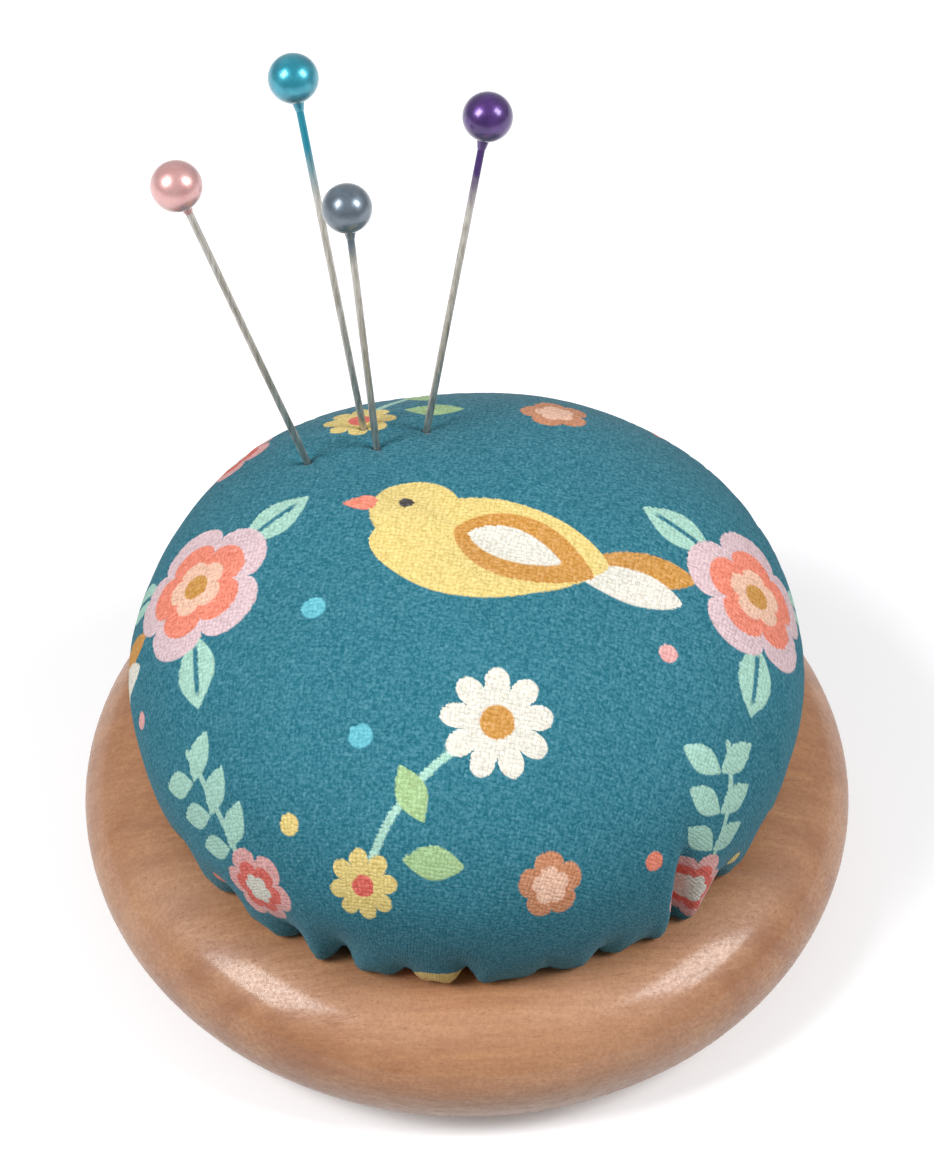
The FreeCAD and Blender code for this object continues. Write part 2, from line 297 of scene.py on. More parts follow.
def new_material(name):
    """A material with an empty Principled shader. Gives the material, its tree and the shader."""
    material = bpy.data.materials.new(name)
    material.use_nodes = True
    tree = material.node_tree
    return material, tree, tree.nodes["Principled BSDF"]


def bump(tree, shader, height, distance, strength=1.0):
    """Turns a height in the tree into the shader's normal; distance is in metres."""
    made = tree.nodes.new("ShaderNodeBump")
    made.inputs["Strength"].default_value = strength
    made.inputs["Distance"].default_value = distance
    plug(tree, height, made.inputs["Height"])
    tree.links.new(made.outputs["Normal"], shader.inputs["Normal"])


def paint(piece, material):
    """Gives a piece one material all over."""
    piece.data.materials.clear()
    piece.data.materials.append(material)


def rgb(code):
    """A colour written the way designers write it, such as 1F6F80, as linear light."""
    parts = [int(code[i : i + 2], 16) / 255 for i in (0, 2, 4)]
    return tuple(c / 12.92 if c <= 0.04045 else ((c + 0.055) / 1.055) ** 2.4 for c in parts) + (1.0,)


# %% [markdown]
# ## Finishes shared by several pieces
# Two finishes have detail of their own: a plain weave and fine wood grain. Each is a node group, built
# once, with its sizes as inputs.


# %% Group: plain weave
def make_weave():
    """Crossing threads: their height, where the gaps between them lie, and slubs along them."""
    tree, wires, give = new_group(
        "plain weave",
        {"Point": ("point", (0, 0, 0)), "Pitch": ("value", 0.4), "Wander": ("value", 0.1)},
        {"Height": "value", "Gap": "value", "Slub": "value", "Fuzz": "value"},
    )
    point, pitch, wander = wires
    x, y, _ = axes(tree, point)
    drift = noise(tree, point, 0.35, 2.0) - 0.5
    sway = noise(tree, point, 1.3, 1.0) - 0.5
    across = (x + drift * wander * 6.0) / pitch
    along = (y + sway * wander * 4.0) / pitch
    turn = math.pi
    warp = (across * turn).math("SINE").size()
    weft = (along * turn).math("SINE").size()
    over = ((across.math("FLOOR") + along.math("FLOOR")) / 2.0).math("FRACT") * 2.0
    over = over.between(0.4, 0.6)
    thread = over * (warp ** 0.6) * (weft * 0.5 + 0.5) + (
        (over * -1.0 + 1.0) * (weft ** 0.6) * (warp * 0.5 + 0.5)
    )
    gap = warp.math("MINIMUM", weft).between(0.45, 0.0)
    warp_slub = noise(tree, vector(tree, across.math("FLOOR") * 3.7, y * 1.6), 1.0, 2.0)
    weft_slub = noise(tree, vector(tree, x * 1.6, along.math("FLOOR") * 3.7), 1.0, 2.0)
    slub = over * warp_slub + (over * -1.0 + 1.0) * weft_slub
    fuzz = noise(tree, point, 3.4, 2.0, 0.7)
    give("Height", thread * 0.8 + slub * 0.4)
    give("Gap", gap)
    give("Slub", slub)
    give("Fuzz", fuzz)
    return tree


# %% Group: wood grain
def make_grain():
    """Long fibres along one axis, with short pores and broad clouds. Lengths are in millimetres."""
    tree, wires, give = new_group(
        "wood grain",
        {"Point": ("point", (0, 0, 0)), "Stretch": ("value", 0.06), "Wave": ("value", 0.6)},
        {"Fibre": "value", "Pores": "value", "Cloud": "value", "Ring": "value"},
    )
    point, stretch, wave = wires
    x, y, z = axes(tree, point)
    bend = (noise(tree, vector(tree, x * 0.03, y * 0.06, z * 0.06), 1.0, 2.0) - 0.5) * wave
    lay = vector(tree, x * stretch, y + bend * 8.0, z + bend * 5.0)
    fibre = noise(tree, lay, 2.6, 4.0, 0.65)
    pores = noise(tree, vector(tree, x * 0.35, y + bend * 8.0, z + bend * 5.0), 5.5, 2.0, 0.6)
    cloud = noise(tree, vector(tree, x * 0.05, y * 0.12, z * 0.12), 1.0, 3.0)
    ring = noise(tree, vector(tree, x * 0.004, y + bend * 14.0, z * 0.6), 0.42, 3.0, 0.6)
    give("Fibre", fibre)
    give("Pores", pores.between(0.62, 0.72))
    give("Cloud", cloud)
    give("Ring", ring)
    return tree


WEAVE = make_weave()
GRAIN = make_grain()


def object_point(tree, turn=(0, 0, 0)):
    """The place on the object, in millimetres, turned if asked."""
    made = tree.nodes.new("ShaderNodeTexCoord")
    return node(
        tree, "Mapping", Wire(tree, made.outputs["Object"]), None, turn, (1 / MM, 1 / MM, 1 / MM)
    )


# %% [markdown]
# ## The dish
# The dish is turned from light, close-grained wood, so the fibres run straight across it while the rim
# goes round: they show lengthwise on the near side and end-on at the left and right. A satin varnish
# lies over the wood, which is a clear coat in the shader.


# %% Wood
def make_wood():
    material, tree, shader = new_material("satin_wood")
    point = object_point(tree, turn=(0, 0, math.radians(-4)))
    grain = use_group(tree, GRAIN, Point=point, Stretch=0.05, Wave=0.5)
    colour = blend(tree, grain["Ring"].between(0.35, 0.65), rgb("A06D4A"), rgb("BA875F"))
    colour = blend(tree, grain["Fibre"].between(0.4, 0.7) * 0.45, colour, rgb("8A5838"))
    colour = blend(tree, grain["Cloud"].between(0.45, 0.7) * 0.5, colour, rgb("C79A78"))
    colour = blend(tree, grain["Pores"] * 0.35, colour, rgb("7A4E31"))
    grit = noise(tree, point, 3.2, 3.0, 0.7)
    colour = blend(tree, grit.between(0.62, 0.4) * 0.3, colour, rgb("835233"))
    plug(tree, colour, shader.inputs["Base Color"])
    plug(tree, grain["Fibre"].between(0.3, 0.7, 0.44, 0.6), shader.inputs["Roughness"])
    plug(tree, grit.between(0.35, 0.65, 0.2, 0.6), shader.inputs["Coat Weight"])
    shader.inputs["Coat Roughness"].default_value = 0.16
    bump(tree, shader, grain["Fibre"] * 0.6 - grain["Pores"] * 0.5 + grit * 0.5, 0.00007, 0.6)
    return material


paint(frame["nodes"]["wood_base"], make_wood())

# %% [markdown]
# ## The printed cotton
# The cloth is a circle, printed before it was cut. Its own map holds each point's place on the opened
# cloth, in millimetres along the pulled cloth from the middle, and the print is drawn in those. Where
# the cloth is gathered, the print is squeezed together with it, as on the real thing. The print is built
# from three simple shapes: a flower with any number of petals, a leaf, and a stroke.

SOFT_EDGE = 0.16  # how far a printed edge bleeds, in millimetres
PETAL_ROUNDING = 0.5  # 1 is a pointed petal, and less is rounder


# %% Group: flower
def make_flower():
    """A round flower. Depth says how deeply it is cut between its petals."""
    tree, wires, give = new_group(
        "flower",
        {
            "X": ("value", 0.0),
            "Y": ("value", 0.0),
            "Turn": ("value", 0.0),
            "Petals": ("value", 5.0),
            "Radius": ("value", 3.0),
            "Depth": ("value", 0.4),
        },
        {"Mask": "value"},
    )
    x, y, turn, petals, radius, depth = wires
    reach = (x * x + y * y).math("SQRT")
    angle = y.math("ARCTAN2", x) - turn
    lobe = (angle * petals / 2.0).math("COSINE").size() ** PETAL_ROUNDING
    outline = radius * (depth * (lobe - 1.0) + 1.0)
    give("Mask", (outline - reach).edge(SOFT_EDGE))
    return tree


# %% Group: leaf
def make_leaf():
    """A leaf from a base point: Swell moves its widest place, and Blunt rounds its ends."""
    tree, wires, give = new_group(
        "leaf",
        {
            "X": ("value", 0.0),
            "Y": ("value", 0.0),
            "Turn": ("value", 0.0),
            "Length": ("value", 5.0),
            "Width": ("value", 1.0),
            "Swell": ("value", 1.0),
            "Blunt": ("value", 1.0),
        },
        {"Mask": "value", "Along": "value", "Across": "value"},
    )
    x, y, turn, length, width, swell, blunt = wires
    cosine, sine = turn.math("COSINE"), turn.math("SINE")
    along = (x * cosine + y * sine) / length
    held = along.held()
    across = y * cosine - x * sine
    half = width * (((held ** swell) * math.pi).math("SINE").math("MAXIMUM", 0.0) ** blunt)
    inside = (half - across.size()).edge(SOFT_EDGE)
    give("Mask", inside * (half / SOFT_EDGE).held())
    give("Along", along)
    give("Across", across)
    return tree


# %% Group: stroke
def make_stroke():
    """A bowed line of even thickness with round ends."""
    tree, wires, give = new_group(
        "stroke",
        {
            "X": ("value", 0.0),
            "Y": ("value", 0.0),
            "Turn": ("value", 0.0),
            "Length": ("value", 5.0),
            "Thickness": ("value", 0.4),
            "Bow": ("value", 0.0),
        },
        {"Mask": "value"},
    )
    x, y, turn, length, thickness, bow = wires
    cosine, sine = turn.math("COSINE"), turn.math("SINE")
    far = x * cosine + y * sine
    held = (far / length).held()
    past = far - held * length
    across = y * cosine - x * sine - bow * held * (held * -1.0 + 1.0) * 4.0
    reach = (past * past + across * across).math("SQRT")
    give("Mask", (thickness / 2.0 - reach).edge(SOFT_EDGE))
    return tree


FLOWER = make_flower()
LEAF = make_leaf()
STROKE = make_stroke()

# %% [markdown]
# ## Drawing the print
# Cloth is printed from a roller, so its print repeats. This one is a plain country print in flat inks
# on a teal ground: small birds, blossoms, daisies and sprigs. Each of these four motifs repeats on its
# own square grid. The four grids stand half a step apart, so every motif sits in the gaps between the
# others and none has to cross the edge of its own repeat. A Print keeps the colour so far, and each call
# lays one more shape over it. Lengths are in millimetres, and directions in degrees, anticlockwise from x.

# %% Inks
TEAL = rgb("1B6C7E")
SKY = rgb("5DB4C3")
ROSE = rgb("DDBEC2")
RUST = rgb("CC855B")
CREAM = rgb("E4DED0")
CORAL = rgb("F08468")
BRICK = rgb("E2604F")
PEACH = rgb("F2C0A4")
YELLOW = rgb("E6CB78")
MUSTARD = rgb("CC8E34")
MINT = rgb("A6D0BE")
GREEN = rgb("A3C287")
PINK = rgb("E7A7A2")
DARK = rgb("42302E")

REPEAT = 48.0  # side of the square in which each motif comes once
HALF = REPEAT / 2


# %% Print
class Print:
    """Lays printed shapes over each other in one node tree."""

    def __init__(self, tree, x, y, ground):
        self.tree, self.cloth_x, self.cloth_y, self.colour = tree, x, y, ground

    def start_motif(self, x, y, turn):
        """Moves on to a motif: shapes are now measured from its middle, and repeat with it."""
        across = (self.cloth_x - x).math("WRAP", HALF, -HALF)
        up = (self.cloth_y - y).math("WRAP", HALF, -HALF)
        cosine, sine = math.cos(math.radians(turn)), math.sin(math.radians(turn))
        self.x, self.y = across * cosine + up * sine, up * cosine - across * sine

    def ink(self, mask, colour):
        self.colour = blend(self.tree, mask, self.colour, colour)

    def shape(self, group, x, y, turn, **sizes):
        """Places one of the simple shapes, measured from its own middle or base."""
        return use_group(
            self.tree, group, X=self.x - x, Y=self.y - y, Turn=math.radians(turn), **sizes
        )

    def flower(self, x, y, radius, petals, colour, depth=0.35, turn=0.0):
        made = self.shape(FLOWER, x, y, turn, Petals=float(petals), Radius=radius, Depth=depth)
        self.ink(made["Mask"], colour)

    def disc(self, x, y, radius, colour):
        """A plain round spot."""
        self.flower(x, y, radius, 1, colour, depth=0.0)

    def leaf(self, x, y, turn, length, width, colour, swell=1.0, blunt=1.0, vein=None):
        """A leaf, with a line along its middle if a vein colour is given."""
        made = self.shape(LEAF, x, y, turn, Length=length, Width=width, Swell=swell, Blunt=blunt)
        self.ink(made["Mask"], colour)
        if vein:
            line = (made["Across"].size() * -1.0 + width * 0.13).edge(SOFT_EDGE)
            start = ((made["Along"] - 0.12) * 12.0).held()
            end = ((made["Along"] * -1.0 + 0.85) * 10.0).held()
            self.ink(made["Mask"] * line * start * end, vein)

    def stroke(self, x, y, turn, length, thickness, colour, bow=0.0):
        made = self.shape(STROKE, x, y, turn, Length=length, Thickness=thickness, Bow=bow)
        self.ink(made["Mask"], colour)

    def posy(self, x, y, radius, petals, colours, turn):
        """Rings of colour inside each other, each a smaller flower."""
        for step, colour in enumerate(colours):
            share = 1 - step / (len(colours) + 0.35)
            self.flower(x, y, radius * share, petals, colour, depth=0.3, turn=turn)


# %% The four motifs
def draw_bird(art):
    """A plain yellow songbird seen from its side, with two tail feathers and one folded wing."""
    art.leaf(6.0, 0.6, 14, 11.0, 1.7, MUSTARD, swell=1.3, blunt=0.7)
    art.leaf(6.0, 0.0, 2, 10.0, 1.7, CREAM, swell=1.3, blunt=0.7)
    art.leaf(-10.0, -0.6, 6, 19.5, 5.3, YELLOW, swell=0.85, blunt=0.7)
    art.disc(-7.0, 3.2, 3.7, YELLOW)
    art.leaf(-10.2, 3.6, 188, 3.0, 0.9, CORAL, swell=0.6)
    art.disc(-7.9, 3.9, 0.6, DARK)
    art.leaf(-3.4, 1.6, 352, 12.0, 3.3, MUSTARD, swell=0.8, blunt=0.75)
    art.leaf(-2.2, 1.5, 352, 8.0, 1.7, CREAM, swell=0.8, blunt=0.8)


def draw_blossom(art):
    """One large blossom between three leaves."""
    for turn in (25, 145, 262):
        along = math.radians(turn)
        art.leaf(5 * math.cos(along), 5 * math.sin(along), turn, 7.0, 1.9, MINT, vein=TEAL)
    art.posy(0, 0, 6.9, 5, (ROSE, CORAL, PEACH), turn=18)
    art.disc(0, 0, 1.2, MUSTARD)
    art.disc(9.8, -7.2, 1.0, SKY)
    art.disc(-9.6, -7.6, 0.8, PINK)


def draw_daisies(art):
    """Two daisies on one bent stem."""
    art.stroke(-8.0, -7.0, 48, 15.0, 0.7, MINT, bow=1.4)
    art.leaf(-4.6, -5.4, -8, 5.5, 1.4, GREEN)
    art.leaf(-2.6, -2.6, 112, 5.0, 1.3, GREEN)
    art.flower(3.4, 5.2, 4.6, 9, CREAM, depth=0.45, turn=10)
    art.disc(3.4, 5.2, 1.4, MUSTARD)
    art.flower(-8.4, -7.4, 3.2, 8, YELLOW, depth=0.4)
    art.disc(-8.4, -7.4, 1.0, BRICK)
    art.posy(8.6, -7.6, 3.0, 5, (RUST, PEACH), turn=30)
    art.disc(-7.6, 4.6, 1.0, SKY)


def draw_sprig(art):
    """A sprig of paired leaves with a small pink blossom at its foot and loose buds beside it."""
    art.stroke(0, -6.0, 84, 13.0, 0.6, MINT, bow=-0.8)
    for height in (-2.5, 1.0, 4.5):
        art.leaf(0.4, height, 32, 4.6, 1.2, MINT)
        art.leaf(0.4, height, 146, 4.6, 1.2, MINT)
    art.posy(0, -7.0, 4.2, 6, (PINK, BRICK, CREAM), turn=12)
    art.disc(7.6, -4.4, 0.9, YELLOW)
    art.disc(-7.4, -2.2, 0.9, CORAL)


# %% Group: the whole print
def make_print():
    """All the printed shapes over the teal ground, from a point on the flat cloth."""
    tree, wires, give = new_group(
        "bird and flower print", {"X": ("value", 0.0), "Y": ("value", 0.0)}, {"Colour": "colour"}
    )
    art = Print(tree, *wires, TEAL)
    # Each motif: what draws it, where its middle lies, and its turn.
    motifs = (
        (draw_bird, 2.0, -2.0, -12),
        (draw_blossom, 1.0 + HALF, -1.0, 8),
        (draw_daisies, -1.0, 1.0 + HALF, 0),
        (draw_sprig, HALF, 1.0 + HALF, 20),
    )
    for draw, x, y, turn in motifs:
        art.start_motif(x, y, turn)
        draw(art)
    give("Colour", art.colour)
    return tree


PRINT = make_print()
print("shapes in the print:", sum(n.bl_idname == "ShaderNodeGroup" for n in PRINT.nodes))

# %% Cotton
MAP_SPAN = 140.0  # millimetres of flat cloth across the whole of its map
THREAD_PITCH = 0.36


def make_cotton():
    """Printed cotton: the print seen through the weave, with white thread showing between, and painted
    shade in the gaps between the threads.
    """
    material, tree, shader = new_material("printed_cotton")
    coordinates = tree.nodes.new("ShaderNodeUVMap")
    coordinates.uv_map = "cloth"
    flat = node(
        tree, "Mapping", Wire(tree, coordinates.outputs["UV"]),
        (-MAP_SPAN / 2, -MAP_SPAN / 2, 0), None, (MAP_SPAN, MAP_SPAN, 1),
    )
    turned = node(tree, "Mapping", flat, None, (0, 0, math.radians(9)), (1, 1, 1))
    weave = use_group(tree, WEAVE, Point=turned, Pitch=THREAD_PITCH, Wander=0.12)
    wobble = (weave["Slub"] - 0.5) * 0.3 + (weave["Fuzz"] - 0.5) * 0.35
    x, y, _ = axes(tree, flat)
    printed = use_group(tree, PRINT, X=x + wobble, Y=y - wobble)["Colour"]
    fade = noise(tree, flat, 0.12, 2.0).between(0.3, 0.7) * 0.12
    colour = blend(tree, fade, printed, rgb("10505F"))
    bare = (weave["Slub"] * 0.6 + weave["Fuzz"] * 0.9).between(0.62, 1.0)
    colour = blend(tree, bare * 0.13, colour, rgb("B4D3D6"))
    worn = (weave["Slub"] * 0.6 + weave["Fuzz"] * 0.9).between(0.78, 0.45)
    # Brightness: lighter where pale bare thread shows, darker in random worn patches, and darker in the
    # gaps between the threads, which is painted shade.
    shade = bare * 0.28 - worn * 0.2 - weave["Gap"] * 0.16 + 0.95
    colour = node(tree, "VectorMath", colour, shade, operation="SCALE")
    plug(tree, colour, shader.inputs["Base Color"])
    shader.inputs["Roughness"].default_value = 0.88
    shader.inputs["Sheen Weight"].default_value = 0.08
    shader.inputs["Sheen Roughness"].default_value = 0.4
    shader.inputs["Specular IOR Level"].default_value = 0.25
    bump(tree, shader, weave["Height"] * 0.7 + weave["Fuzz"] * 0.6, 0.0001, 0.7)
    return material


COTTON = make_cotton()

# %% [markdown]
# ## The cover
# A flat circle pulled over a dome has too much edge, and the extra cloth falls into gathers where it
# tucks in behind the rim. The cover is made as a round grid over the dome's outline, measured along the
# cloth from the middle, and each gather is a valley that deepens towards the rim. A short cloth
# simulation then lets the filling press the gathers out, as it does in the real cushion.

# %% The dome's outline
DOME_FULLNESS = 0.954  # 1 is an ellipse, and less is fuller at the shoulder
HEM_OPENING = 15.5  # radius of the opening that the gathering thread leaves
WOOD_GAP = 0.1
HEM_CORNER = 0.9
PULLED = 1.04  # how much longer the cloth is, pulled tight, than it was cut
DOME_STEPS = 400  # points down the dome
TURN_STEPS = 119  # points round each of the three bends below it


def outline():
    """Radius, height and distance along the cloth, from the top of the dome to the hem's edge."""
    up = np.linspace(math.pi / 2, 0, DOME_STEPS)
    radius = [DOME_RADIUS * np.cos(up).clip(0) ** DOME_FULLNESS]
    height = [WIDEST_Z + (DOME_TOP - WIDEST_Z) * np.sin(up).clip(0) ** DOME_FULLNESS]
    turn = np.linspace(0, math.pi / 2, TURN_STEPS + 1)[1:]
    radius.append(CROWN_RADIUS + (DOME_RADIUS - CROWN_RADIUS) * np.cos(turn))
    height.append(WIDEST_Z - (WIDEST_Z - CROWN_Z - WOOD_GAP) * np.sin(turn))
    lip = LIP_ROUND + WOOD_GAP
    radius.append(CROWN_RADIUS - lip * np.sin(turn))
    height.append(CROWN_Z - LIP_ROUND + lip * np.cos(turn))
    throat = CROWN_RADIUS - lip
    radius.append(throat - HEM_CORNER * (1 - np.cos(turn)))
    height.append(HEM_Z + HEM_CORNER - HEM_CORNER * np.sin(turn))
    radius.append(np.array([HEM_OPENING]))
    height.append(np.array([HEM_Z]))
    radius, height = np.concatenate(radius), np.concatenate(height)
    along = np.concatenate([[0], np.cumsum(np.hypot(np.diff(radius), np.diff(height)))])
    return radius, height, along


OUTLINE_RADIUS, OUTLINE_HEIGHT, OUTLINE_ALONG = outline()
CLOTH_RADIUS = OUTLINE_ALONG[-1]
HEM_ALONG = OUTLINE_ALONG[-2]
CROWN_ALONG = OUTLINE_ALONG[DOME_STEPS + TURN_STEPS - 1]
FLAT_RADIUS = CLOTH_RADIUS / PULLED
print(f"the cloth is cut as a circle {2 * FLAT_RADIUS:.0f} mm across")
print(f"pulled tight, it meets the rim {CROWN_ALONG:.1f} mm out and its hem {CLOTH_RADIUS:.1f} mm out")

# %% Gathers
RUFFLES = 60
RUFFLE_DEPTH = 1.2
BACK_FROM, BACK_TO = -14.0, 198  # directions between which chance places the gathers, in degrees
# Each gather: direction in degrees, how far out it starts, how deep and how wide it gets, its slant.
CHOSEN_GATHERS = (
    (-51, 29.5, 3.4, 0.6, 1.0),
    (-90, 38.5, 1.5, 0.5, -2.0),
    (-101, 40.5, 1.0, 0.5, 2.0),
    (-113, 37.5, 1.7, 0.7, 3.0),
    (-121, 38.5, 1.8, 0.8, -3.0),
    (-66, 40.5, 1.2, 0.5, 2.0),
    (-76, 42.0, 0.6, 0.5, 0.0),
    (-136, 39.5, 1.4, 0.8, 0.0),
    (-39, 39.0, 1.4, 0.8, -2.0),
    (-26, 40.0, 1.3, 0.8, 2.0),
    (-150, 40.0, 1.3, 0.8, 2.0),
)


def all_gathers():
    """The chosen gathers at the front, and ones placed by chance round the back."""
    chance = np.random.default_rng(12)
    gathers = list(CHOSEN_GATHERS)
    direction = BACK_FROM
    while direction < BACK_TO:
        gathers.append(
            (
                direction,
                chance.uniform(36.5, 41.5),
                chance.uniform(1.0, 2.0),
                chance.uniform(0.6, 1.0),
                chance.uniform(-4, 4),
            )
        )
        direction += chance.uniform(8, 15)
    return gathers


def gather_depth(direction, along):
    """How far in the gathers pull the cloth, for arrays of directions and distances along it."""
    depth = np.zeros_like(direction)
    for middle, start, deep, wide, slant in all_gathers():
        grow = np.clip((along - start) / (CROWN_ALONG + 0.5 - start), 0, 1)
        grow = grow * grow * (3 - 2 * grow)
        spread = wide * (0.55 + 0.9 * (1 - grow)) + 0.25
        centre = middle + slant * (CROWN_ALONG - along) / 10
        off = (direction - centre + 180) % 360 - 180
        off = np.radians(off) * CROWN_RADIUS
        valley = np.exp(-np.abs(off / spread) ** 1.5)
        shoulder = np.exp(-(((np.abs(off) - 2.4 * spread) / (1.2 * spread)) ** 2))
        depth += grow * deep * (valley - 0.22 * shoulder)
    return depth


def ruffle(direction, along):
    """The many small folds of the cloth behind the rim, where it has been squeezed together."""
    zone = np.clip((along - CROWN_ALONG - 1.0) / 2.5, 0, 1)
    zone = zone * np.clip((HEM_ALONG - along) / 1.5, 0, 1)
    turn = np.radians(direction)
    wave = np.sin(RUFFLES * turn + 0.9 * np.sin(7 * turn) + 0.6 * np.sin(11 * turn + 1))
    return RUFFLE_DEPTH * zone * (1 + wave) / 2


def lumps(direction, along):
    """The slow unevenness of a hand-stuffed dome."""
    turn = np.radians(direction)
    swell = np.sin(np.clip(along / 40, 0, 1) * math.pi)
    return swell * (
        0.28 * np.sin(2 * turn + 0.8)
        + 0.22 * np.sin(3 * turn - 1.1 + along / 17)
        + 0.14 * np.sin(5 * turn + along / 9)
        + 0.1 * np.sin(7 * turn - along / 7 + 2)
    )


# %% Where the pins go in
PIN_NAMES = ("pink", "teal", "grey", "violet")
PIN_AXES = {j["name"].split("_")[0]: np.array(j["axis"]) for j in frame["joints"]}


def dome_height(radius):
    """The dome's height at a distance from its middle."""
    return np.interp(radius, OUTLINE_RADIUS[:DOME_STEPS], OUTLINE_HEIGHT[:DOME_STEPS])


def pin_entry(pin):
    """The point where a pin goes into the dome, in millimetres."""
    corners = np.array([v.co[:] for v in frame["nodes"][f"{pin}_shank"].data.vertices]) / MM
    axis = PIN_AXES[pin]
    side = np.cross(axis, (1, 0, 0)) / np.linalg.norm(np.cross(axis, (1, 0, 0)))
    turned = np.stack([side, np.cross(axis, side), axis])
    placed = corners @ turned.T
    middle = (placed.min(axis=0) + placed.max(axis=0)) / 2 @ turned
    steps = middle + np.linspace(-25, 25, 2001)[:, None] * axis
    above = steps[:, 2] - dome_height(np.hypot(steps[:, 0], steps[:, 1]))
    return steps[np.argmin(np.abs(above))]


PIN_ENTRIES = {pin: pin_entry(pin) for pin in PIN_NAMES}
for pin, place in PIN_ENTRIES.items():
    print(pin, "goes in at", np.round(place, 2), "mm")

# %% Build the cover
RINGS = 64
SPOKES = 360
DIMPLE_DEPTH = 0.55
DIMPLE_WIDTH = 0.9


def ring_places():
    """How far out along the cloth each ring lies: closer together where the gathers are."""
    share = np.linspace(0, 1, RINGS + 1)[1:]
    return CLOTH_RADIUS * (share - 0.07 * np.sin(share * math.tau))


SLOPE_STEP = 0.3  # how far ahead and behind a slope is measured, in millimetres


def slope(values, along):
    """How much a value of the outline changes round each place along the cloth."""
    ahead = np.interp(along + SLOPE_STEP, OUTLINE_ALONG, values)
    return ahead - np.interp(along - SLOPE_STEP, OUTLINE_ALONG, values)


def cover_points(rings, spokes, inset=0.0):
    """Points ring by ring on the cushion, or inside it, with their distance out and direction."""
    along, direction = np.meshgrid(rings, np.arange(spokes) * 360 / spokes, indexing="ij")
    radius = np.interp(along, OUTLINE_ALONG, OUTLINE_RADIUS)
    height = np.interp(along, OUTLINE_ALONG, OUTLINE_HEIGHT)
    out, down = slope(OUTLINE_RADIUS, along), slope(OUTLINE_HEIGHT, along)
    run = np.hypot(out, down).clip(1e-6)
    fade = np.clip((HEM_ALONG - 1 - along) / 8, 0, 1)
    push = lumps(direction, along) * np.clip((CROWN_ALONG - along) / 6, 0, 1)
    push -= gather_depth(direction, along) * fade + ruffle(direction, along) + inset
    radius = radius + push * (-down / run)
    height = height + push * (out / run)
    turn = np.radians(direction)
    points = np.stack([radius * np.cos(turn), radius * np.sin(turn), height], axis=-1)
    return points.reshape(-1, 3), along.reshape(-1), turn.reshape(-1)


def press_dimples(points):
    """Presses the cloth in a little round each pin."""
    for place in PIN_ENTRIES.values():
        off = np.linalg.norm(points - place, axis=1)
        points[:, 2] -= DIMPLE_DEPTH * np.exp(-off / DIMPLE_WIDTH)
    return points


def grid_faces(rings, spokes):
    """The faces of a round grid, from the middle point outwards."""
    faces = [(0, 1 + j, 1 + (j + 1) % spokes) for j in range(spokes)]
    for ring in range(rings - 1):
        inner, outer = 1 + ring * spokes, 1 + (ring + 1) * spokes
        for j in range(spokes):
            k = (j + 1) % spokes
            faces.append((inner + j, outer + j, outer + k, inner + k))
    return faces


def build_cover():
    """The cover as one layer of cloth, with its flat place kept in a map."""
    rings = ring_places()
    points, along, turn = cover_points(rings, SPOKES)
    top = [0, 0, DOME_TOP + lumps(np.zeros(1), np.zeros(1))[0]]
    points = press_dimples(np.vstack([top, points]))
    flat = np.vstack([[0, 0], np.stack([along * np.cos(turn), along * np.sin(turn)], axis=-1)])
    cover = grid_object("cover_cloth", points, grid_faces(RINGS, SPOKES))
    cloth_map = cover.data.uv_layers.new(name="cloth")
    corner_points = np.empty(len(cover.data.loops), dtype=np.int32)
    cover.data.loops.foreach_get("vertex_index", corner_points)
    cloth_map.data.foreach_set("uv", (flat[corner_points] / MAP_SPAN + 0.5).ravel())
    return cover, along


COVER, ALONG = build_cover()

# %% [markdown]
# Blender's cloth solver is tuned for clothes of a person's size, so the cover is blown up twenty times
# for the simulation and shrunk again afterwards. The hem is held still, gravity is off, and a little
# pressure stands for the filling. No point may move further than a set limit, and the taut middle of
# the cloth doesn't move at all, so the dome keeps its size.

# %% Let the cloth settle
BLOW_UP = 20
SETTLE_FRAMES = 10
MOST_MOVE = 0.9  # millimetres
SETTLE_FROM = 24.0  # the taut cloth inside this distance stays as it is
SETTLE_RAMP = 10.0


